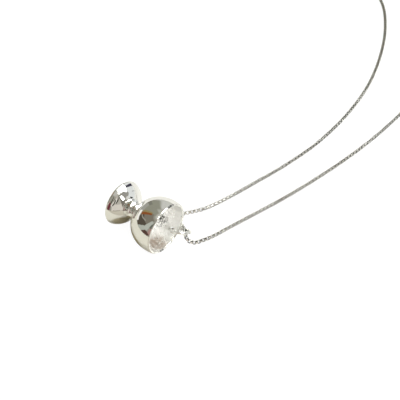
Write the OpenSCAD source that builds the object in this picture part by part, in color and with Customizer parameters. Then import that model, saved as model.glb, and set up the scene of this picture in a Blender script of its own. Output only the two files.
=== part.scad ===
// Goblet pendant on a box chain, lying on a table: a small silver cup on its side, a jump ring
// through a hole near its rim, and a chain that runs through the ring and closes in a clasp.
// Millimetres, +Z up, table at z = 0. The cup's mouth faces +X, the chain's loop runs along +Y.

/* [Bowl] */
// Widest radius of the bowl
bowl_r = 6.05; // [6:0.05:6.2]
// Distance of the widest circle behind the mouth
widest_depth = 1.7; // [1.5:0.1:1.9]
// Radius of the arc that forms the side wall
wall_arc_r = 8; // [7.6:0.1:8]
// Radius of the round bottom
bottom_r = 6; // [5.9:0.05:6]
// Thickness of the bowl's wall
wall_t = 0.5; // [0.4:0.05:0.6]

/* [Foot] */
// Radius of the foot
foot_r = 5.15; // [5:0.05:5.35]
// Distance from the mouth to the foot's flat underside
cup_h = 13.1; // [12.6:0.1:13.6]
// Radius of the foot's domed top
dome_r = 5.4; // [5.3:0.05:5.6]
// Rounding of the foot's edge
foot_round = 0.5; // [0.4:0.05:0.55]
// Radius of the hollow curve that joins bowl and foot
waist_arc_r = 1; // [0.9:0.05:1.2]

/* [Jump ring] */
// Radius of the jump ring, to the middle of its wire
ring_r = 2.225; // [2.1:0.025:2.3]
// Thickness of the jump ring's wire
ring_wire = 0.65; // [0.5:0.05:0.65]
// Lean of the ring from lying flat
ring_lean = 46.8; // [46:0.1:48]
// Direction in which the ring leans, from +X towards +Y
ring_heading = 120; // [118:1:122]
// Place of the ring's middle on the table, beside the mouth's middle
ring_x = 0.73; // [0.6:0.01:0.8]
// Place of the ring's middle along +Y, beside the mouth's middle
ring_y = 3.34; // [3.3:0.01:3.4]
// Diameter of the hole for the ring
hole_d = 1.3; // [1.2:0.05:1.4]
// Distance of the hole behind the mouth
hole_depth = 1.75; // [1.6:0.05:1.9]
// Turn of the hole from the bowl's lowest line towards +Y
hole_turn = 31; // [29:0.5:33]

/* [Chain and clasp] */
// Thickness of the box chain
chain_d = 0.9; // [0.7:0.05:0.9]
// Radius of a ring at the chain's end, to the middle of its wire
end_ring_r = 1.4; // [1.4:0.05:1.6]
// Thickness of the end rings' wire
end_wire = 0.6; // [0.5:0.05:0.6]
// Radius of the clasp's ring, to the middle of its wire
clasp_r = 2.35; // [2.3:0.05:2.6]
// Thickness of the clasp's wire
clasp_wire = 1.3; // [1.1:0.1:1.3]
// Radius of the clasp's small eye, to the middle of its wire
eye_r = 1.2; // [1.2:0.05:1.3]
// Thickness of the small eye's wire
eye_wire = 0.6; // [0.5:0.05:0.6]

/* [Hidden] */
$fn = 96;
eps = 0.01;
silver = [0.86, 0.86, 0.85];

// Where the middle of the mouth stands over the table, and where the clasp lies
mouth_at = [3, -92];
clasp_at = [3, 95];

// The bowl's outline: a wall arc whose centre lies across the axis, and a round bottom on the axis
wall_arc_x = bowl_r - wall_arc_r;
bottom_y = -widest_depth - sqrt(pow(wall_arc_r - bottom_r, 2) - wall_arc_x * wall_arc_x);
join_y = -widest_depth + wall_arc_r * (bottom_y + widest_depth) / (wall_arc_r - bottom_r);
lip_r = wall_t / 2;
lip_y = -lip_r;
lip_x = wall_arc_x + sqrt(pow(wall_arc_r - lip_r, 2) - pow(lip_y + widest_depth, 2));

// The foot's outline: a dome that runs into a rounded edge and a flat underside
edge_y = -cup_h + foot_round;
edge_x = foot_r - foot_round;
dome_y = edge_y - sqrt(pow(dome_r - foot_round, 2) - edge_x * edge_x);
dome_low = edge_y + foot_round * (edge_y - dome_y) / (dome_r - foot_round);

// The waist: a hollow arc that touches the round bottom and the dome
bottom_reach = bottom_r + waist_arc_r;
dome_reach = dome_r + waist_arc_r;
waist_y = (pow(dome_reach, 2) - pow(bottom_reach, 2) + bottom_y * bottom_y - dome_y * dome_y)
    / (2 * (bottom_y - dome_y));
waist_x = sqrt(pow(bottom_reach, 2) - pow(waist_y - bottom_y, 2));
waist_top = waist_y + waist_arc_r * (bottom_y - waist_y) / bottom_reach;
waist_low = waist_y + waist_arc_r * (dome_y - waist_y) / dome_reach;

// The cup rests on its wall and on the edge of its foot, which tips the mouth up
rest_along = -edge_y - widest_depth;
rest_across = edge_x - wall_arc_x;
tilt = atan2(rest_along, rest_across) - acos((wall_arc_r - foot_round) / norm([rest_along, rest_across]));
mouth_z = wall_arc_r + wall_arc_x * cos(tilt) + widest_depth * sin(tilt);

// The jump ring stands on the table at its lowest point
ring_z = ring_r * sin(ring_lean) + ring_wire / 2;

// The clasp lies on the end rings' wires with a small gap, and the ring in its eye has some play
seat_gap = 0.05;
end_play = 0.1;
clasp_z = end_wire + seat_gap + clasp_wire / 2;
end_ring_z = end_ring_r + end_wire / 2;
eye_x = -clasp_r - eye_r;
end_ring_x = [eye_x - eye_r - end_play, clasp_r];

// The chain's route, by hand: from the clasp down the left side of the loop, along the first strand
// to the cup, through the jump ring, back along the second strand and up the right side
chain_route = [
    [-2.9, 95, 0.8], [-14, 94.5, 0.45], [-26, 90, 0.45], [-36, 81, 0.45], [-41, 68, 0.45],
    [-40, 54, 0.45], [-33, 42, 0.45], [-22.5, 32.5, 0.45], [-10.5, 24, 0.45],
    [1, 15, 0.45], [7.6, 4.4, 0.45], [12.2, -8, 0.45], [15, -21, 0.45], [15.6, -34, 0.45],
    [14.4, -46.8, 0.45], [11.9, -57.5, 0.45], [9.1, -66.1, 0.45], [6.9, -72.5, 0.45],
    [5, -77.4, 0.45], [3.5, -80.3, 0.45], [1.9, -82.45, 0.45],
    [0.85, -83.8, 0.45], [0.4, -85.1, 0.5], [1.2, -86.3, 0.85], [2.8, -86.9, 1.25],
    [4.2, -87.6, 1.3], [5.2, -88.5, 1], [6.3, -88.8, 0.6], [7.5, -88.3, 0.45], [8.4, -87, 0.45],
    [9.6, -84.8, 0.45], [11.2, -80.7, 0.45], [13.8, -74, 0.45], [16.6, -66.7, 0.45],
    [19.8, -57, 0.45], [22.7, -46.6, 0.45], [24.9, -36.5, 0.45], [26.5, -26, 0.45],
    [28.6, -11, 0.45], [31.4, 5, 0.45], [35, 21, 0.45], [38.8, 37, 0.45], [41.2, 53, 0.45],
    [39.6, 69, 0.45], [33, 82.5, 0.45], [22, 91.5, 0.45], [6.5, 95, 0.8]
];
// Longest stretch between two rings of the chain's tube, and its number of sides
ring_gap = 9;
tube_sides = 8;

function last(list) = list[len(list) - 1];
function unit(v) = v / norm(v);

// A point of the smooth curve through p1 and p2, at t from 0 to 1
function curve_point(p0, p1, p2, p3, t) =
    (2 * p1 + (p2 - p0) * t + (2 * p0 - 5 * p1 + 4 * p2 - p3) * t * t
        + (3 * p1 - p0 - 3 * p2 + p3) * t * t * t) / 2;

// The curve through a route, with steps of about the given length
function smooth(route, step) =
    let (n = len(route),
        p = concat([2 * route[0] - route[1]], route, [2 * last(route) - route[n - 2]]))
    concat([for (i = [1 : n - 1])
        let (count = ceil(norm(p[i + 1] - p[i]) / step))
        for (k = [0 : count - 1]) curve_point(p[i - 1], p[i], p[i + 1], p[i + 2], k / count)],
        [last(route)]);

// The tube's corners round one point, square to the way it runs
function tube_ring(at, along, r, sides) =
    let (side = unit(cross(along, [0, 0, 1])), up = cross(side, along))
    [for (k = [0 : sides - 1]) let (a = (k + 0.5) * 360 / sides) at + r * (cos(a) * side + sin(a) * up)];

function direction(path, i) = unit(path[min(i + 1, len(path) - 1)] - path[max(i - 1, 0)]);

// A closed tube along a path
module tube(path, d, sides) {
    rings = len(path);
    corners = [for (i = [0 : rings - 1]) each tube_ring(path[i], direction(path, i), d / 2, sides)];
    walls = [for (i = [0 : rings - 2], k = [0 : sides - 1])
        let (a = i * sides + k, b = i * sides + (k + 1) % sides)
        each [[a, b, a + sides], [b, b + sides, a + sides]]];
    first_cap = [for (k = [sides - 1 : -1 : 0]) k];
    last_cap = [for (k = [0 : sides - 1]) (rings - 1) * sides + k];
    polyhedron(corners, concat(walls, [first_cap, last_cap]), convexity = 10);
}

module wire_ring(r, wire, around = 96, sides = 48) {
    rotate_extrude($fn = around) translate([r, 0]) circle(d = wire, $fn = sides);
}

// Half plane to the right of the axis, between two heights
module band(low, high) {
    translate([0, low]) square([bowl_r + foot_r, high - low]);
}

// One side of the bowl's solid, grown inwards by t
module bowl_outline(t) {
    intersection() {
        translate([wall_arc_x, -widest_depth]) circle(wall_arc_r - t, $fn = 180);
        band(join_y, lip_y);
    }
    intersection() {
        translate([0, bottom_y]) circle(bottom_r - t, $fn = 180);
        band(-cup_h, join_y + eps);
    }
}

module foot_outline() {
    intersection() {
        translate([0, dome_y]) circle(dome_r, $fn = 180);
        band(dome_low, 0);
    }
    translate([edge_x, edge_y]) circle(foot_round);
    translate([0, -cup_h]) square([edge_x, dome_low + cup_h + eps]);
}

// The material between bowl and foot, with a hollow arc cut from it
module waist_outline() {
    difference() {
        translate([0, waist_low]) square([waist_x, waist_top - waist_low]);
        translate([waist_x, waist_y]) circle(waist_arc_r);
    }
}

// Turns what stands on its foot, with the mouth's middle at the origin, to the way the cup lies
module lay_cup() {
    translate([mouth_at.x, mouth_at.y, mouth_z]) rotate([0, 90 - tilt, 0]) children();
}

module goblet() {
    color(silver) lay_cup() difference() {
        rotate_extrude() {
            difference() {
                bowl_outline(0);
                translate([0, eps]) bowl_outline(wall_t);
            }
            translate([lip_x, lip_y]) circle(lip_r);
            waist_outline();
            foot_outline();
        }
        rotate([0, 0, hole_turn]) translate([0, 0, -hole_depth]) rotate([0, 90, 0])
            translate([0, 0, bowl_r / 2]) cylinder(h = bowl_r, d = hole_d, $fn = 48);
    }
}

module jump_ring() {
    color(silver) translate([mouth_at.x + ring_x, mouth_at.y + ring_y, ring_z])
        rotate([0, ring_lean, ring_heading]) wire_ring(ring_r, ring_wire);
}

module chain() {
    color(silver) union() {
        tube(smooth(chain_route, ring_gap), chain_d, tube_sides);
        for (x = end_ring_x)
            translate([clasp_at.x + x, clasp_at.y, end_ring_z]) rotate([90, 0, 0])
                wire_ring(end_ring_r, end_wire, 24, tube_sides);
    }
}

module clasp() {
    color(silver) translate([clasp_at.x, clasp_at.y, clasp_z]) union() {
        wire_ring(clasp_r, clasp_wire);
        translate([eye_x, 0, 0]) wire_ring(eye_r, eye_wire);
    }
}

goblet();
jump_ring();
chain();
clasp();
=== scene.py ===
# Goblet pendant on a box chain, lying on a white table. The CAD nodes give the places; this script
# gives the finish: turned silver for the cup, single links for the chain, a spring ring clasp.
# Lengths are in metres and angles in degrees. Colours and lights are linear red, green, blue.
import math

import bpy
import numpy as np
from mathutils import Matrix, Vector


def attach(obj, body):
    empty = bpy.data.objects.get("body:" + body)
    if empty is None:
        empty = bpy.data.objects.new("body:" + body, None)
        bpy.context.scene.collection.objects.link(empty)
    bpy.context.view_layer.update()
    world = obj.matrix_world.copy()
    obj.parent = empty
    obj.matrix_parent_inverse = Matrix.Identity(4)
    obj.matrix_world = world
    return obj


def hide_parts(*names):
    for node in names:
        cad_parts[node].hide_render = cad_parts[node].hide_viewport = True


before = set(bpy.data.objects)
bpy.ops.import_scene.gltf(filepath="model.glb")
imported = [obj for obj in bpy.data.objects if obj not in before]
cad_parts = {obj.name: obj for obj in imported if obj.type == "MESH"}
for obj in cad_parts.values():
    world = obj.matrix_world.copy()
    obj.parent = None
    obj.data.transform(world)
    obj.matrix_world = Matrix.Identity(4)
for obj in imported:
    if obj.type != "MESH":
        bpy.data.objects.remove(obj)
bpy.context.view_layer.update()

MM = 0.001

# ---- Camera ----
# azimuth from -Y towards +X, elevation over the table; Blender has the lens in millimetres
CAMERA_AZIMUTH = 37.0
CAMERA_ELEVATION = 54.73
CAMERA_DISTANCE = 128.2 * MM
CAMERA_TARGET = Vector((1.38, -78.3, 0)) * MM
CAMERA_LENS = 49.92
CAMERA_CLIP = (MM, 10)

# ---- Cup ----
# The outline of part.scad's goblet: the bowl's greatest radius and its depth under the lip, the
# arcs of the bowl's wall and bottom, the wall's thickness, the height over all, the foot's radius,
# and the arcs of its domed top, of its edge and of the waist
BOWL_R = 6.05 * MM
WIDEST_DEPTH = 1.7 * MM
WALL_ARC_R = 8 * MM
BOTTOM_R = 6 * MM
WALL_T = 0.5 * MM
CUP_H = 13.1 * MM
FOOT_R = 5.15 * MM
DOME_R = 5.4 * MM
FOOT_ROUND = 0.5 * MM
WAIST_ARC_R = 1 * MM
# Rings of points on the flat underside of the foot, as parts of its radius
UNDERSIDE = (1, 0.98, 0.66, 0.33, 0)
# The middle of the mouth on the table's plane
MOUTH_AT = np.array([3, -92]) * MM
CUP_SIDES = 288
# The hole in the wall: its depth under the lip, and its turn round the cup's axis
HOLE_D = 1.3 * MM
HOLE_DEPTH = 1.75 * MM
HOLE_TURN = 31.0
# The rod that cuts the hole, from one distance from the cup's axis to the other, in bowl radii
DRILL_REACH = (1.5, 0.5)
DRILL_SIDES = 64
# A face is a turned one if the cosine between its normal and the outline's is above this
TURNED_COSINE = 0.7

# ---- Jump ring ----
# Its radius is to the middle of the wire. It is tipped up from the table, then turned about Z.
RING_R = 2.225 * MM
RING_WIRE = 0.65 * MM
RING_LEAN = 46.8
RING_HEADING = 120.0
RING_AT = MOUTH_AT + np.array([0.73, 3.34]) * MM
RING_AROUND = 192
RING_SIDES = 32
# The soldered seam: the row of the ring's points where its groove is, and the groove's depth
SEAM_PLACE = 20
SEAM_DEPTH = 0.02 * MM

# ---- Chain ----
# A link is a strip bent to a square: its width over all, the strip's thickness and width, the way
# to the next link, the radius of the bent corners, and the bevel of the strip's edges
LINK_W = 0.85 * MM
LINK_T = 0.09 * MM
LINK_STRIP = 0.45 * MM
LINK_PITCH = 0.525 * MM
LINK_CORNER = 0.14 * MM
LINK_EDGE = 0.025 * MM
# How far the normals of a strip's outer side lean out at its two edges, for a slightly round look
LINK_SWELL = 12.0
# How the chain is twisted: run along it from the clasp in millimetres, and roll
CHAIN_ROLL = [
    (0, 60), (168, 58), (178, 50), (185, 43), (192, 40), (200, 42), (209, 43), (217, 49),
    (234, 46), (238, 36), (247, 38), (254, 42), (260, 46), (268, 49), (280, 51), (300, 53),
]
# The run where the links lie on the jump ring and are bright inside too, left out of the painted
# shade
BRIGHT_INSIDE_RUN = (226 * MM, 233.5 * MM)
# The route of part.scad's chain, from the clasp through the jump ring and back
CHAIN_ROUTE = MM * np.array([
    [-2.9, 95, 0.8], [-14, 94.5, 0.45], [-26, 90, 0.45], [-36, 81, 0.45], [-41, 68, 0.45],
    [-40, 54, 0.45], [-33, 42, 0.45], [-22.5, 32.5, 0.45], [-10.5, 24, 0.45],
    [1, 15, 0.45], [7.6, 4.4, 0.45], [12.2, -8, 0.45], [15, -21, 0.45], [15.6, -34, 0.45],
    [14.4, -46.8, 0.45], [11.9, -57.5, 0.45], [9.1, -66.1, 0.45], [6.9, -72.5, 0.45],
    [5, -77.4, 0.45], [3.5, -80.3, 0.45], [1.9, -82.45, 0.45],
    [0.85, -83.8, 0.45], [0.4, -85.1, 0.5], [1.2, -86.3, 0.85], [2.8, -86.9, 1.25],
    [4.2, -87.6, 1.3], [5.2, -88.5, 1], [6.3, -88.8, 0.6], [7.5, -88.3, 0.45], [8.4, -87, 0.45],
    [9.6, -84.8, 0.45], [11.2, -80.7, 0.45], [13.8, -74, 0.45], [16.6, -66.7, 0.45],
    [19.8, -57, 0.45], [22.7, -46.6, 0.45], [24.9, -36.5, 0.45], [26.5, -26, 0.45],
    [28.6, -11, 0.45], [31.4, 5, 0.45], [35, 21, 0.45], [38.8, 37, 0.45], [41.2, 53, 0.45],
    [39.6, 69, 0.45], [33, 82.5, 0.45], [22, 91.5, 0.45], [6.5, 95, 0.8],
])
ROUTE_STEPS = 40
END_RING_R = 1.4 * MM
END_WIRE = 0.6 * MM
END_SIDES = 20

# ---- Clasp ----
CLASP_R = 2.35 * MM
CLASP_WIRE = 1.3 * MM
EYE_R = 1.2 * MM
EYE_WIRE = 0.6 * MM
CLASP_AT = np.array([3, 95]) * MM
CLASP_AROUND = 96
CLASP_SIDES = 28
# Gaps from the clasp to the end rings' wires, and from its eye to the end ring beside it
SEAT_GAP = 0.05 * MM
END_PLAY = 0.1 * MM
# The bolt shows from start to end, and goes on by its reach into the tube on both sides
BOLT_WIRE = 0.7 * MM
BOLT_START = 55.0
BOLT_END = 100.0
BOLT_REACH = 15.0
# Its ends and the tube's are rounded over the wire's radius by END_TAPER, and lose END_ROUND of
# their area
END_TAPER = 2.0
END_ROUND = 0.9

# ---- Lamp for the cup's inside ----
LAMP_AT = Vector((78, -127, 61)) * MM
LAMP_AIM = Vector((2, -91.5, 5)) * MM
LAMP_POWER = 0.5
LAMP_ANGLE = 8.0
LAMP_BLEND = 0.4
LAMP_RADIUS = 8 * MM

# ---- Table ----
FLOOR_HALF = 2.0
TABLE_GRAIN = 0.02 * MM
TABLE_GRAIN_SCALE = 900
TABLE_ROUGH = (0.6, 0.8)
# What the camera sees: a little of the shadows, on a white that glows
SEEN_TONE = (0.09, 0.09, 0.09)
SEEN_GLOW = 0.95
# What the silver mirrors: a pale table, and a paler one past LIT_X or past LIT_Y
TABLE_TONE = (0.72, 0.71, 0.64)
LIT_TONE = (0.8, 0.8, 0.78)
LIT_X = (0, 4 * MM)
LIT_Y = (-96 * MM, -84 * MM)
# The photographer's shade on the table, which the silver mirrors: past X and short of Y
SHADE_X = (0, 4 * MM)
SHADE_Y = (-96 * MM, -97 * MM)
SHADE_TONE = (0.5, 0.47, 0.4)
# The deeper shade under the cup's waist: its middle, and where it starts and is full
HOLLOW_AT = (-5 * MM, -97.3 * MM, 0)
HOLLOW_REACH = (4.6 * MM, 3 * MM)
HOLLOW_TONE = (0.34, 0.3, 0.2)

# ---- Silver ----
FINISHES = {
    # name: tint, roughness, wave height, wave scale, grain height, grain scale, metallic
    "polished_silver": ((0.93, 0.93, 0.91), 0.03, 0.02 * MM, 260, 0.0005 * MM, 9000, 1),
    "satin_silver": ((0.98, 0.98, 0.96), 0.28, 0.03 * MM, 300, 0.15 * MM, 4500, 0.5),
    "chain_silver": ((0.92, 0.92, 0.89), 0.12, 0.01 * MM, 700, 0.001 * MM, 9000, 1),
    # the links' insides: a painted shade, dark where light doesn't reach into them
    "link_painted_shade_silver": ((0.05, 0.048, 0.042), 0.3, 0.01 * MM, 700, 0.001 * MM, 9000, 1),
}
# Smudges: their scale against the waves', and how they vary the roughness and the tint
SMUDGE_SCALE = 1.7
SMUDGE_ROUGH = (0.6, 1.4)
SMUDGE_TINT = 0.93
# Painted reflections: dark specks and brown patches inside the cup, and small dark marks on the
# outer edge of its rim
CUP_PAINTED_REFLECTIONS = [
    # middle, reach, tone, the noise's scale, and the noise where it starts and is full
    ((-1.4 * MM, -89 * MM, 2.1 * MM), 2.4 * MM, (0.06, 0.06, 0.05), 3000, 0.47, 0.56),
    ((1.2 * MM, -93.8 * MM, 0.9 * MM), 3.2 * MM, (0.42, 0.34, 0.28), 1500, 0.2, 0.6),
    ((1.1 * MM, -92.8 * MM, 0.7 * MM), 2 * MM, (0.2, 0.17, 0.13), 4200, 0.52, 0.65),
]
# painted reflections of dark things, as dark marks on the rim's outer edge
RIM_PAINTED_REFLECTIONS = [
    # middle, reach, tone, the noise's scale, and the noise where it starts and is full
    ((2.5 * MM, -90.2 * MM, 11.7 * MM), 0.4 * MM, (0.04, 0.04, 0.04), 2000, 0.3, 0.5),
    ((2.5 * MM, -89.6 * MM, 11.5 * MM), 0.45 * MM, (0.04, 0.04, 0.04), 2000, 0.3, 0.5),
    ((2.5 * MM, -89 * MM, 11.2 * MM), 0.4 * MM, (0.04, 0.04, 0.04), 2000, 0.3, 0.5),
    ((3.4 * MM, -94.3 * MM, 1.1 * MM), 0.45 * MM, (0.05, 0.05, 0.05), 2000, 0.3, 0.5),
    ((3.4 * MM, -94.9 * MM, 1.4 * MM), 0.45 * MM, (0.05, 0.05, 0.05), 2000, 0.3, 0.5),
]
# A painted patch is full inside this part of its reach
PAINTED_PATCH_CORE = 1 / 3

# ---- Room ----
# What the silver mirrors: each row is a soft-edged card in the room, over the rows before it.
# bearing runs from +Y over +X, elevation from the horizon, turn tips the card.
ROOM = [
    # name, bearing, elevation, half width, half height, edge, turn, light
    ("ceiling", 112, 90, 400, 15, 8, 0, (0.55, 0.54, 0.49)),
    ("wall at +Y", 346, 5, 22, 40, 16, 0, (0.6, 0.6, 0.56)),
    ("curtain", 25, 15, 34, 28, 4, 0, (0.79, 0.81, 0.8)),
    ("curtain fold", 20, 2, 1.2, 14, 1, -25, (0.45, 0.45, 0.44)),
    ("window", 20, 60, 30, 18.5, 1.5, 0, (9, 9, 8.8)),
    ("window bar", 27, 42, 13, 1.5, 1, -12, (0.12, 0.12, 0.12)),
    ("side wall", 72, 48, 33, 15, 2, 0, (0.33, 0.32, 0.29)),
    ("bright niche", 68, 30, 8, 7, 1.5, 0, (0.75, 0.74, 0.7)),
    ("skylight", 62, 75, 30, 5, 2, 0, (1.3, 1.28, 1.2)),
    ("dark frame", 93, 50, 16, 15, 2, 0, (0.22, 0.21, 0.18)),
    ("second window", 89, 50, 7.5, 10, 1.5, 0, (9, 8.8, 8.4)),
    ("low wall at +X", 106, 24, 8, 12, 2, 0, (0.2, 0.18, 0.15)),
    ("person", 130, 48, 24, 22, 6, 0, (0.5, 0.47, 0.41)),
    ("beige door", 138, 14, 23, 15, 3, 0, (0.7, 0.65, 0.58)),
    ("frame side", 122, 52, 12, 2, 1, -42, (0.12, 0.11, 0.09)),
    ("low shelf", 141, -1, 14, 3, 2, 0, (0.3, 0.27, 0.21)),
    ("strap", 132, 45, 12, 2.2, 1, -45, (0.07, 0.065, 0.05)),
    ("light gap", 139, 49, 12, 2.4, 1, -50, (0.85, 0.82, 0.76)),
    ("cable", 150, 38, 16, 2.6, 1, -56, (0.07, 0.065, 0.05)),
    ("light gap 2", 158, 36, 15, 2.4, 1, -62, (0.75, 0.7, 0.63)),
    ("lamp arm", 166, 44, 24, 2.6, 1, -70, (0.09, 0.085, 0.06)),
    ("lamp cord", 150, 56, 11, 1.8, 1, -66, (0.14, 0.13, 0.1)),
    ("pink cloth", 185, 24, 9, 16, 4, 0, (0.42, 0.25, 0.22)),
    ("pale strip", 182, 12, 2.5, 40, 1.5, 0, (0.7, 0.66, 0.58)),
    ("red cloth", 174, 16, 4, 16, 3, 8, (0.15, 0.04, 0.05)),
    ("dark corner", 194, 47, 5, 14, 2, 10, (0.14, 0.15, 0.12)),
    ("grey field", 289, 38, 29, 26, 11, 0, (0.29, 0.29, 0.23)),
    ("upper wall", 326, 67, 16, 8, 11, 0, (0.46, 0.46, 0.4)),
    ("brown field", 238, 48, 26, 14, 4, 0, (0.21, 0.19, 0.15)),
    ("dark chest", 237, 12, 20, 20, 2, 0, (0.095, 0.08, 0.06)),
    ("chest edge", 244, 29, 15, 1.2, 1.5, -25, (0.34, 0.32, 0.27)),
    ("red chest", 206, 1, 9, 14, 2, 35, (0.1, 0.055, 0.045)),
    ("pale frame", 208, 36, 6.5, 20, 2, 0, (0.47, 0.49, 0.43)),
    ("pale sill", 224, 2, 6, 20, 2, 35, (0.45, 0.47, 0.41)),
    ("pale lamp", 260, 7, 14, 5, 2, 18, (0.98, 0.95, 0.9)),
    ("wooden door", 262, 38, 6, 19, 1.5, 3, (0.27, 0.09, 0.03)),
    ("door edge", 270, 40, 3, 18, 2, 0, (0.3, 0.25, 0.12)),
    ("grey panel", 286, 10, 12, 12, 2, 0, (0.36, 0.36, 0.32)),
    ("post", 301, 9, 3.5, 16, 2, 8, (0.21, 0.21, 0.17)),
    ("dark blue cloth", 2, 17, 3.5, 20, 2, -16, (0.06, 0.055, 0.08)),
    ("dark pot", 56, 14, 4, 6, 2, -20, (0.05, 0.05, 0.045)),
]
# The light between the cards, and the bearing where the room's unrolled map is cut
WALL_LIGHT = (0.32, 0.31, 0.26)
ROOM_SEAM = 112.0
# The whole swing by which a noise moves the cards' edges, and its scale
RIPPLE = 3.2
RIPPLE_SCALE = 6


# ---- Geometry helpers ----
def mesh_piece(name, verts, faces, materials, normals=None, face_material=None):
    """A mesh object from arrays, smooth shaded, with normals of its own where they are given."""
    mesh = bpy.data.meshes.new(name)
    mesh.from_pydata(verts.tolist(), [], faces)
    for material in materials:
        mesh.materials.append(material)
    if face_material is not None:
        mesh.polygons.foreach_set("material_index", face_material)
    mesh.polygons.foreach_set("use_smooth", [True] * len(mesh.polygons))
    if normals is not None:
        mesh.normals_split_custom_set_from_vertices(normals.tolist())
    mesh.update()
    piece = bpy.data.objects.new(name, mesh)
    bpy.context.scene.collection.objects.link(piece)
    return piece


def grid_faces(rows, columns, close_rows=False):
    """Quads between rings of points. They face (way to the next ring) x (way round)."""
    last = rows if close_rows else rows - 1
    faces = []
    for i in range(last):
        a, b = i * columns, (i + 1) % rows * columns
        for k in range(columns):
            n = (k + 1) % columns
            faces.append((a + k, b + k, b + n, a + n))
    return faces


def round_steps(sides):
    """The angles of a full round in equal steps, in radians."""
    return np.radians(np.arange(sides) * 360 / sides)


def turned(directions, matrix):
    """Directions, one a row, turned by a 4x4 matrix."""
    return directions @ np.array(matrix)[:3, :3].T


def placed(verts, matrix):
    """Points, one a row, moved by a 4x4 matrix."""
    return turned(verts, matrix) + np.array(matrix)[:3, 3]


def unit(v):
    return v / np.linalg.norm(v, axis=-1, keepdims=True)


def lay(x, y, z, turn_y=0.0, turn_z=0.0, turn_x=0.0):
    """The matrix of a piece at a place, turned about X, then Y, then Z."""
    turn = (Matrix.Rotation(math.radians(turn_z), 4, "Z")
            @ Matrix.Rotation(math.radians(turn_y), 4, "Y")
            @ Matrix.Rotation(math.radians(turn_x), 4, "X"))
    return Matrix.Translation((x, y, z)) @ turn


def wire_points(r, wire_r, start, end, around, sides):
    """Rings of points round a wire bent to an arc about Z, and their normals. wire_r may vary."""
    a = np.radians(np.linspace(start, end, around))
    b = round_steps(sides)
    out = np.c_[np.cos(a), np.sin(a), np.zeros(around)]
    normal = (out[:, None] * np.cos(b)[None, :, None]
              + np.array([0, 0, 1.0]) * np.sin(b)[None, :, None])
    radii = np.broadcast_to(wire_r, around)[:, None, None]
    return (out[:, None] * r + radii * normal).reshape(-1, 3), normal.reshape(-1, 3)


def ring_points(r, wire_r, around, sides):
    """The same for a closed ring, which doesn't repeat its first points at its end."""
    return wire_points(r, wire_r, 0, 360 * (1 - 1 / around), around, sides)


# ---- Shader helpers ----
def new_node(tree, kind, inputs, output, **settings):
    """A new node fed with other nodes' results or plain values. Gives one of its outputs."""
    new = tree.nodes.new("ShaderNode" + kind)
    for name, value in settings.items():
        setattr(new, name, value)
    for socket, value in inputs.items():
        feed(tree, new.inputs[socket], value)
    return new.outputs[output]


def feed(tree, socket, value):
    """Links another node's result into a socket, or sets a plain value there."""
    if isinstance(value, bpy.types.NodeSocket):
        tree.links.new(value, socket)
    else:
        socket.default_value = value


def calculated(tree, operation, *values):
    return new_node(tree, "Math", dict(enumerate(values)), "Value", operation=operation)


def vector_calculated(tree, operation, *values):
    output = "Value" if operation in ("LENGTH", "DISTANCE") else "Vector"
    return new_node(tree, "VectorMath", dict(enumerate(values)), output, operation=operation)


def noise(tree, place, scale, detail, output="Fac"):
    return new_node(tree, "TexNoise", {"Vector": place, "Scale": scale, "Detail": detail}, output)


def ramp(tree, value, start, end, low=0.0, high=1.0, kind="LINEAR"):
    """Goes from low to high while a value goes from start to end."""
    inputs = {"Value": value, "From Min": start, "From Max": end, "To Min": low, "To Max": high}
    return new_node(tree, "MapRange", inputs, "Result", interpolation_type=kind)


def mixed(tree, factor, a, b):
    """A colour between a and b."""
    return new_node(tree, "Mix", {"Factor": factor, "A": a, "B": b}, "Result", data_type="RGBA")


def opaque(tone):
    """A tone as the four numbers that a colour socket takes."""
    return (*tone, 1)


def bumped(tree, height, distance, under=None):
    """A normal from a height, on top of another normal where one is given."""
    inputs = {"Distance": distance, "Height": height}
    if under is not None:
        inputs["Normal"] = under
    return new_node(tree, "Bump", inputs, "Normal")


def axes(tree, vector):
    """The X, Y and Z of a vector."""
    return [new_node(tree, "SeparateXYZ", {"Vector": vector}, axis) for axis in "XYZ"]


def object_place(tree):
    return new_node(tree, "TexCoord", {}, "Object")


def is_camera_ray(tree):
    return new_node(tree, "LightPath", {}, "Is Camera Ray")


def new_material(name):
    """A new material, its node tree and the inputs of its shader."""
    material = bpy.data.materials.new(name)
    material.use_nodes = True
    tree = material.node_tree
    return material, tree, tree.nodes["Principled BSDF"].inputs


# ---- Materials ----
def silver(name, tint, roughness, wave, wave_scale, grain, grain_scale, metallic):
    """Silver with slow waves from polishing, a fine grain, and smudges that vary its roughness."""
    material, tree, shader = new_material(name)
    shader["Metallic"].default_value = metallic
    place = object_place(tree)

    smudge = noise(tree, place, wave_scale * SMUDGE_SCALE, detail=4)
    rough = ramp(tree, smudge, 0, 1, *(roughness * part for part in SMUDGE_ROUGH))
    feed(tree, shader["Roughness"], rough)
    smudged = [c * SMUDGE_TINT for c in tint]
    feed(tree, shader["Base Color"], mixed(tree, smudge, opaque(tint), opaque(smudged)))

    slow = bumped(tree, noise(tree, place, wave_scale, detail=1), wave)
    fine = bumped(tree, noise(tree, place, grain_scale, detail=3), grain, slow)
    feed(tree, shader["Normal"], fine)
    return material


def paint_reflection(material, middle, reach, tone, scale, low, high):
    """Paints a round dark patch, a painted reflection, onto a silver where a noise of the scale
    runs from low to high.
    """
    tree = material.node_tree
    colour = tree.nodes["Principled BSDF"].inputs["Base Color"]
    place = object_place(tree)
    far = vector_calculated(tree, "DISTANCE", place, middle)
    patch = ramp(tree, far, reach, reach * PAINTED_PATCH_CORE, kind="SMOOTHSTEP")
    spots = ramp(tree, noise(tree, place, scale, detail=2), low, high)
    amount = calculated(tree, "MULTIPLY", patch, spots)
    feed(tree, colour, mixed(tree, amount, colour.links[0].from_socket, opaque(tone)))


polished, satin, chain_silver, link_painted_shade = (silver(name, *row) for name, row in FINISHES.items())
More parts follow.
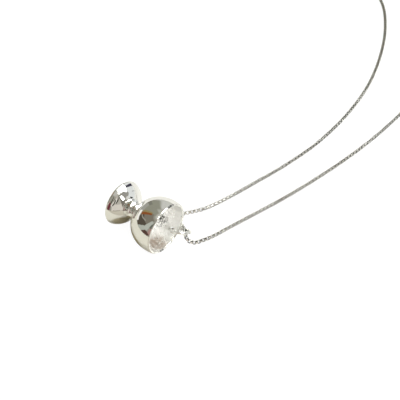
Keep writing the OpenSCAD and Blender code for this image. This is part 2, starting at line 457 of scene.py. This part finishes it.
# painted reflections: dark specks and brown patches inside the cup
for row in CUP_PAINTED_REFLECTIONS:
    paint_reflection(satin, *row)
# painted reflections: dark marks on the outer edge of the rim
for row in RIM_PAINTED_REFLECTIONS:
    paint_reflection(polished, *row)


# ---- Cup ----
def arc(centre, r, start, end, steps, out):
    """Points of an arc with their normals as columns r, y, nr, ny; its last point is left out."""
    a = np.radians(np.linspace(start, end, steps, endpoint=False))
    d = np.c_[np.cos(a), np.sin(a)]
    return np.c_[centre + r * d, out * d]


def heading(a, b):
    return math.degrees(math.atan2(b[1] - a[1], b[0] - a[0]))


def cup_profile():
    """The cup's outline from the middle of its inner bottom over the lip to its underside."""
    wall = np.array([BOWL_R - WALL_ARC_R, -WIDEST_DEPTH])
    bottom = np.array([0, wall[1] - math.sqrt((WALL_ARC_R - BOTTOM_R) ** 2 - wall[0] ** 2)])
    lip_r = WALL_T / 2
    lip_reach = WALL_ARC_R - lip_r
    lip = np.array([wall[0] + math.sqrt(lip_reach ** 2 - (WIDEST_DEPTH - lip_r) ** 2), -lip_r])
    edge = np.array([FOOT_R - FOOT_ROUND, -CUP_H + FOOT_ROUND])
    dome = np.array([0, edge[1] - math.sqrt((DOME_R - FOOT_ROUND) ** 2 - edge[0] ** 2)])
    to_bottom, to_dome = BOTTOM_R + WAIST_ARC_R, DOME_R + WAIST_ARC_R
    waist_y = ((to_dome ** 2 - to_bottom ** 2 + bottom[1] ** 2 - dome[1] ** 2)
               / (2 * (bottom[1] - dome[1])))
    waist = np.array([math.sqrt(to_bottom ** 2 - (waist_y - bottom[1]) ** 2), waist_y])

    join, lip_turn = heading(wall, bottom), heading(wall, lip)
    inside = [
        # centre, radius, start, end, steps, the normal's sign
        (bottom, BOTTOM_R - WALL_T, -90, join, 40, -1),
        (wall, WALL_ARC_R - WALL_T, join, lip_turn, 24, -1),
    ]
    outside = [
        # centre, radius, start, end, steps, the normal's sign
        (lip, lip_r, lip_turn + 180, lip_turn, 16, 1),
        (wall, WALL_ARC_R, lip_turn, join, 24, 1),
        (bottom, BOTTOM_R, join, heading(bottom, waist), 32, 1),
        (waist, WAIST_ARC_R, heading(waist, bottom), heading(waist, dome) + 360, 24, -1),
        (dome, DOME_R, heading(dome, waist), heading(dome, edge), 32, 1),
        (edge, FOOT_ROUND, heading(dome, edge), -90, 16, 1),
    ]
    underside = [[edge[0] * part, -CUP_H, 0, -1] for part in UNDERSIDE]
    inside = np.vstack([arc(*row) for row in inside])
    outside = np.vstack([arc(*row) for row in outside] + [underside])
    return np.vstack([inside, outside]), len(inside)


def cup_tilt():
    """The turn that lays the cup on its wall and on the edge of its foot."""
    along = CUP_H - FOOT_ROUND - WIDEST_DEPTH
    across = FOOT_R - FOOT_ROUND - BOWL_R + WALL_ARC_R
    return (math.degrees(math.atan2(along, across))
            - math.degrees(math.acos((WALL_ARC_R - FOOT_ROUND) / math.hypot(along, across))))


def turned_cup(profile, inside_rows):
    """The profile turned round Z, satin inside and polished outside, with its two ends closed."""
    turn = round_steps(CUP_SIDES)
    round_x, round_y = np.cos(turn)[None], np.sin(turn)[None]
    r, y = profile[1:-1, :1], profile[1:-1, 1:2]
    walls = np.stack([r * round_x, r * round_y, y + 0 * round_x], axis=-1).reshape(-1, 3)
    verts = np.vstack([walls, [[0, 0, profile[0, 1]], [0, 0, profile[-1, 1]]]])
    rows = len(profile) - 2
    faces = grid_faces(rows, CUP_SIDES)
    face_material = [1] * ((inside_rows - 1) * CUP_SIDES)
    face_material += [0] * (len(faces) - len(face_material)) + [1, 0] * CUP_SIDES
    pole, last = rows * CUP_SIDES, (rows - 1) * CUP_SIDES
    for k in range(CUP_SIDES):
        n = (k + 1) % CUP_SIDES
        faces.append((pole, k, n))
        faces.append((pole + 1, last + n, last + k))
    return mesh_piece("cup", verts, faces, [polished, satin], face_material=face_material)


def make_drill():
    """A rod that sticks through the bowl's wall where the hole is."""
    a = round_steps(DRILL_SIDES)
    ring = HOLE_D / 2 * np.c_[np.zeros(DRILL_SIDES), np.cos(a), np.sin(a)]
    verts = np.vstack([ring + [BOWL_R * reach, 0, 0] for reach in DRILL_REACH])
    ends = [tuple(range(DRILL_SIDES)), tuple(range(DRILL_SIDES, 2 * DRILL_SIDES))[::-1]]
    return mesh_piece("drill", placed(verts, lay(0, 0, -HOLE_DEPTH, turn_z=HOLE_TURN)),
                      grid_faces(2, DRILL_SIDES) + ends, [polished])


def make_cup():
    """The turned cup with the hole cut through its wall, laid on the table."""
    profile, inside_rows = cup_profile()
    cup = turned_cup(profile, inside_rows)
    drill = make_drill()
    cut = cup.modifiers.new("hole", "BOOLEAN")
    cut.object = drill
    cut.solver = "EXACT"
    mesh = bpy.data.meshes.new_from_object(cup.evaluated_get(bpy.context.evaluated_depsgraph_get()))
    cup.modifiers.clear()
    bpy.data.objects.remove(drill)
    set_cup_normals(mesh, profile)

    tilt = cup_tilt()
    lean = math.radians(tilt)
    mouth_z = WALL_ARC_R + (BOWL_R - WALL_ARC_R) * math.cos(lean) + WIDEST_DEPTH * math.sin(lean)
    mesh.transform(lay(*MOUTH_AT, mouth_z, turn_y=90 - tilt))
    cup.data = mesh
    return cup


def read_array(items, key, width=1, kind=float):
    """One property of a mesh's vertices, faces or corners, one item a row."""
    values = np.zeros(len(items) * width, kind)
    items.foreach_get(key, values)
    return values.reshape(-1, width) if width > 1 else values


def set_cup_normals(mesh, profile):
    """Gives the turned faces the normals of the exact outline, and the hole's wall its own."""
    corner = read_array(mesh.loops, "vertex_index", kind=np.int32)
    co = read_array(mesh.vertices, "co", 3)
    sizes = read_array(mesh.polygons, "loop_total", kind=np.int32)
    face_normal = np.repeat(read_array(mesh.polygons, "normal", 3), sizes, axis=0)

    radius = np.hypot(co[:, 0], co[:, 1])
    near = (radius[:, None] - profile[None, :, 0]) ** 2 + (co[:, 2:] - profile[None, :, 1]) ** 2
    best = near.argmin(axis=1)
    out = np.c_[co[:, 0], co[:, 1]] / np.maximum(radius, 1e-9)[:, None]
    exact = np.c_[out * profile[best, 2:3], profile[best, 3]][corner]
    is_turned = (exact * face_normal).sum(axis=1) > TURNED_COSINE
    normals = np.where(is_turned[:, None], exact, face_normal)
    mesh.normals_split_custom_set(normals.tolist())


# ---- Jump ring ----
def make_jump_ring():
    """A ring of round wire with a soldered seam, a shallow groove round the wire."""
    groove = np.where(np.arange(RING_AROUND) == SEAM_PLACE, SEAM_DEPTH, 0)
    verts, normals = ring_points(RING_R, RING_WIRE / 2 - groove, RING_AROUND, RING_SIDES)
    ring_z = RING_R * math.sin(math.radians(RING_LEAN)) + RING_WIRE / 2
    matrix = lay(*RING_AT, ring_z, turn_y=RING_LEAN, turn_z=RING_HEADING)
    return mesh_piece("ring_of_wire", placed(verts, matrix),
                      grid_faces(RING_AROUND, RING_SIDES, close_rows=True), [polished],
                      normals=turned(normals, matrix))


# ---- Chain ----
def smooth_route(route, steps):
    """The same curve through the route's points that part.scad draws, finely stepped."""
    points = np.vstack([2 * route[0] - route[1], route, 2 * route[-1] - route[-2]])
    t = (np.arange(steps) / steps)[:, None]
    parts = []
    for p0, p1, p2, p3 in zip(points, points[1:], points[2:], points[3:]):
        parts.append((2 * p1 + (p2 - p0) * t + (2 * p0 - 5 * p1 + 4 * p2 - p3) * t ** 2
                      + (3 * p1 - p0 - 3 * p2 + p3) * t ** 3) / 2)
    return np.vstack(parts + [route[-1:]])


def link_mesh():
    """One box link: a strip bent to a square, its plane X-Y, with the faces that show inside it."""
    length = LINK_PITCH + 2 * LINK_T
    half = np.array([length, LINK_W]) / 2 - LINK_CORNER
    turns, centres = [], []
    for sx, sy, start in ((1, 1, 0), (-1, 1, 90), (-1, -1, 180), (1, -1, 270)):
        for step in (0, 45, 90):
            turns.append(math.radians(start + step))
            centres.append(half * (sx, sy))
    turns, centres = np.array(turns), np.array(centres)
    out = np.c_[np.cos(turns), np.sin(turns), 0 * turns]
    middle = np.c_[centres, 0 * turns]
    side, inner, e = LINK_STRIP / 2, LINK_CORNER - LINK_T, LINK_EDGE
    swell = math.radians(LINK_SWELL)
    section = [
        # distance from the corner's centre, height, the normal's part outwards and upwards
        (LINK_CORNER, -side + e, math.cos(swell), -math.sin(swell)),
        (LINK_CORNER, side - e, math.cos(swell), math.sin(swell)),
        (LINK_CORNER - e, side, 0, 1),
        (inner + e, side, 0, 1),
        (inner, side - e, -1, 0),
        (inner, -side + e, -1, 0),
        (inner + e, -side, 0, -1),
        (LINK_CORNER - e, -side, 0, -1),
    ]
    verts = np.stack([middle + r * out + [0, 0, h] for r, h, _, _ in section], axis=1)
    normals = np.stack([a * out + [0, 0, b] for _, _, a, b in section], axis=1)
    faces = grid_faces(len(turns), len(section), close_rows=True)
    # painted shade: the strip's inner side, and the link's ends inside its neighbours, get the dark
    # silver
    outer_side, inner_side = 0, 4
    ends = (5, 11)
    inside = [1 if k == inner_side or (k == outer_side and i in ends) else 0
              for i in range(len(turns)) for k in range(len(section))]
    return verts.reshape(-1, 3), normals.reshape(-1, 3), faces, inside


def make_chain():
    """Every link of the chain in one mesh, alternate links turned by a quarter."""
    path = smooth_route(CHAIN_ROUTE, ROUTE_STEPS)
    run = np.concatenate([[0], np.cumsum(np.linalg.norm(np.diff(path, axis=0), axis=1))])
    count = int(run[-1] / LINK_PITCH) + 1
    at = (np.arange(count) + 0.5) * run[-1] / count

    def path_at(distance):
        return np.stack([np.interp(distance, run, path[:, i]) for i in range(3)], axis=1)

    centres = path_at(at)
    along = unit(path_at(at + LINK_PITCH) - path_at(at - LINK_PITCH))
    side = unit(np.cross(along, [0, 0, 1.0]))
    up = np.cross(side, along)
    twist = np.interp(at / MM, *np.transpose(CHAIN_ROLL))
    roll = np.radians(twist + 90 * (np.arange(count) % 2))[:, None]
    across = np.cos(roll) * side + np.sin(roll) * up
    facing = np.cross(along, across)
    frames = np.stack([along, across, facing], axis=1)

    verts, normals, faces, inside = link_mesh()
    all_verts = (verts @ frames + centres[:, None]).reshape(-1, 3)
    all_normals = (normals @ frames).reshape(-1, 3)
    offsets = np.arange(count)[:, None, None] * len(verts)
    all_faces = (np.array(faces)[None] + offsets).reshape(-1, 4).tolist()
    # painted shade inside the links, left out in the bright run on the jump ring
    dark = (at < BRIGHT_INSIDE_RUN[0]) | (at > BRIGHT_INSIDE_RUN[1])
    face_material = (dark[:, None] * np.array(inside)[None]).astype(int).ravel()
    return mesh_piece("box_chain", all_verts, all_faces, [chain_silver, link_painted_shade],
                      normals=all_normals, face_material=face_material)


def make_end_rings():
    """The upright round rings that end the chain, as in part.scad."""
    ring, ring_normals = ring_points(END_RING_R, END_WIRE / 2, CLASP_AROUND, END_SIDES)
    ring_faces = np.array(grid_faces(CLASP_AROUND, END_SIDES, close_rows=True))
    verts, normals, faces = [], [], []
    for i, x in enumerate((-CLASP_R - 2 * EYE_R - END_PLAY, CLASP_R)):
        matrix = lay(CLASP_AT[0] + x, CLASP_AT[1], END_RING_R + END_WIRE / 2, turn_x=90)
        verts.append(placed(ring, matrix))
        normals.append(turned(ring_normals, matrix))
        faces += (ring_faces + i * len(ring)).tolist()
    return mesh_piece("end_rings", np.vstack(verts), faces, [polished],
                      normals=np.vstack(normals))


# ---- Clasp ----
def clasp_piece(name, verts, normals, faces, x=0.0):
    """A piece of the clasp, on the wires of the end rings and x beside the clasp's middle."""
    clasp_z = END_WIRE + SEAT_GAP + CLASP_WIRE / 2
    return mesh_piece(name, placed(verts, lay(CLASP_AT[0] + x, CLASP_AT[1], clasp_z)), faces,
                      [polished], normals=normals)


def clasp_arc(name, wire_r, start, end):
    """A stretch of the clasp's ring in round wire, with both ends rounded off."""
    t = np.linspace(0, 1, CLASP_AROUND)
    reach = math.radians(end - start) * CLASP_R / wire_r * np.minimum(t, 1 - t)
    radii = wire_r * np.sqrt(1 - (1 - np.minimum(reach * END_TAPER, 1)) ** 2 * END_ROUND)
    verts, normals = wire_points(CLASP_R, radii, start, end, CLASP_AROUND, CLASP_SIDES)
    last = (CLASP_AROUND - 1) * CLASP_SIDES
    caps = [tuple(range(CLASP_SIDES)), tuple(range(last, last + CLASP_SIDES))[::-1]]
    return clasp_piece(name, verts, normals, grid_faces(CLASP_AROUND, CLASP_SIDES) + caps)


def make_clasp():
    """A spring ring: a tube bent to a ring with a gap, the bolt that closes it, and the eye."""
    tube = clasp_arc("clasp_tube", CLASP_WIRE / 2, BOLT_END, BOLT_START + 360)
    bolt = clasp_arc("clasp_bolt", BOLT_WIRE / 2, BOLT_START - BOLT_REACH, BOLT_END + BOLT_REACH)
    verts, normals = ring_points(EYE_R, EYE_WIRE / 2, CLASP_AROUND, CLASP_SIDES)
    faces = grid_faces(CLASP_AROUND, CLASP_SIDES, close_rows=True)
    eye = clasp_piece("clasp_eye", verts, normals, faces, -CLASP_R - EYE_R)
    return [tube, bolt, eye]


cup = make_cup()
jump_ring = make_jump_ring()
chain = make_chain()
end_rings = make_end_rings()
clasp = make_clasp()
for pieces, node in (([cup], "goblet"), ([jump_ring], "jump_ring"),
                     ([chain, end_rings], "chain"), (clasp, "clasp")):
    for piece in pieces:
        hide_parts(node)
        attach(piece, "root")


# ---- Floor, light and camera ----
def make_floor():
    """A pale table. The camera sees it blown out to white, with a trace of the shadows left."""
    material, tree, shader = new_material("white_table")
    place = object_place(tree)
    grain = noise(tree, place, TABLE_GRAIN_SCALE, detail=4)
    feed(tree, shader["Roughness"], ramp(tree, grain, 0, 1, *TABLE_ROUGH))
    feed(tree, shader["Normal"], bumped(tree, grain, TABLE_GRAIN))

    x, y, _ = axes(tree, place)
    lit = calculated(tree, "MAXIMUM", ramp(tree, x, *LIT_X), ramp(tree, y, *LIT_Y))
    tone = mixed(tree, lit, opaque(TABLE_TONE), opaque(LIT_TONE))
    shade = calculated(tree, "MULTIPLY", ramp(tree, x, *SHADE_X), ramp(tree, y, *SHADE_Y))
    tone = mixed(tree, shade, tone, opaque(SHADE_TONE))
    from_hollow = vector_calculated(tree, "DISTANCE", place, HOLLOW_AT)
    tone = mixed(tree, ramp(tree, from_hollow, *HOLLOW_REACH), tone, opaque(HOLLOW_TONE))

    seen = is_camera_ray(tree)
    feed(tree, shader["Base Color"], mixed(tree, seen, tone, opaque(SEEN_TONE)))
    feed(tree, shader["Emission Strength"], calculated(tree, "MULTIPLY", seen, SEEN_GLOW))
    shader["Emission Color"].default_value = (1, 1, 1, 1)
    corners = FLOOR_HALF * np.array([[-1, -1, 0], [1, -1, 0], [1, 1, 0], [-1, 1, 0]])
    floor = mesh_piece("table", corners, [(0, 1, 2, 3)], [material])


def make_camera():
    azimuth, elevation = math.radians(CAMERA_AZIMUTH), math.radians(CAMERA_ELEVATION)
    back = Vector((math.sin(azimuth) * math.cos(elevation),
                   -math.cos(azimuth) * math.cos(elevation), math.sin(elevation)))
    data = bpy.data.cameras.new("camera")
    data.lens = CAMERA_LENS
    data.clip_start, data.clip_end = CAMERA_CLIP
    camera = bpy.data.objects.new("camera", data)
    camera.location = CAMERA_TARGET + CAMERA_DISTANCE * back
    camera.rotation_euler = back.to_track_quat("Z", "Y").to_euler()
    bpy.context.scene.collection.objects.link(camera)
    bpy.context.scene.camera = camera


def make_light():
    """The room round the table as a world shader, plain white where the camera would see it."""
    world = bpy.data.worlds.new("studio")
    world.use_nodes = True
    bpy.context.scene.world = world
    tree = world.node_tree

    # the way of a ray as a place on the room's unrolled map: bearing and elevation
    way = new_node(tree, "TexCoord", {}, "Generated")
    x, y, z = axes(tree, way)
    bearing = calculated(tree, "DEGREES", calculated(tree, "ARCTAN2", x, y))
    elevation = calculated(tree, "DEGREES", calculated(tree, "ARCSINE", z))
    past_seam = calculated(tree, "WRAP", calculated(tree, "SUBTRACT", bearing, ROOM_SEAM), 360, 0)
    on_map = new_node(tree, "CombineXYZ", {"X": past_seam, "Y": elevation}, "Vector")
    ripple = noise(tree, way, RIPPLE_SCALE, detail=1, output="Color")
    push = vector_calculated(tree, "MULTIPLY_ADD", ripple, (RIPPLE, RIPPLE, 0),
                             (-RIPPLE / 2, -RIPPLE / 2, 0))
    spot = vector_calculated(tree, "ADD", on_map, push)

    light = opaque(WALL_LIGHT)
    for _, at, height, half_width, half_height, edge, turn, colour in ROOM:
        inputs = {"Vector": spot, "Location": ((at - ROOM_SEAM) % 360, height, 0),
                  "Rotation": (0, 0, math.radians(turn))}
        on_card = new_node(tree, "Mapping", inputs, "Vector", vector_type="TEXTURE")
        from_middle = vector_calculated(tree, "ABSOLUTE", on_card)
        beyond = vector_calculated(tree, "SUBTRACT", from_middle, (half_width, half_height, 0))
        beyond = vector_calculated(tree, "MAXIMUM", beyond, (0, 0, 0))
        card = ramp(tree, vector_calculated(tree, "LENGTH", beyond), edge, 0, kind="SMOOTHSTEP")
        light = mixed(tree, card, light, opaque(colour))

    room = tree.nodes["Background"]
    feed(tree, room.inputs["Color"], light)
    plain = new_node(tree, "Background", {"Color": (1, 1, 1, 1)}, "Background")
    inputs = {0: is_camera_ray(tree), 1: room.outputs[0], 2: plain}
    shown = new_node(tree, "MixShader", inputs, "Shader")
    feed(tree, tree.nodes["World Output"].inputs["Surface"], shown)
    bpy.context.scene.view_settings.view_transform = "Standard"


def make_lamp():
    """A narrow lamp into the cup. It lights the matt inside and isn't mirrored."""
    data = bpy.data.lights.new("cup_lamp", "SPOT")
    data.energy = LAMP_POWER
    data.spot_size = math.radians(LAMP_ANGLE)
    data.spot_blend = LAMP_BLEND
    data.shadow_soft_size = LAMP_RADIUS
    lamp = bpy.data.objects.new("cup_lamp", data)
    lamp.location = LAMP_AT
    lamp.rotation_euler = (LAMP_AT - LAMP_AIM).to_track_quat("Z", "Y").to_euler()
    lamp.visible_glossy = False
    bpy.context.scene.collection.objects.link(lamp)


make_floor()
make_camera()
make_light()
make_lamp()
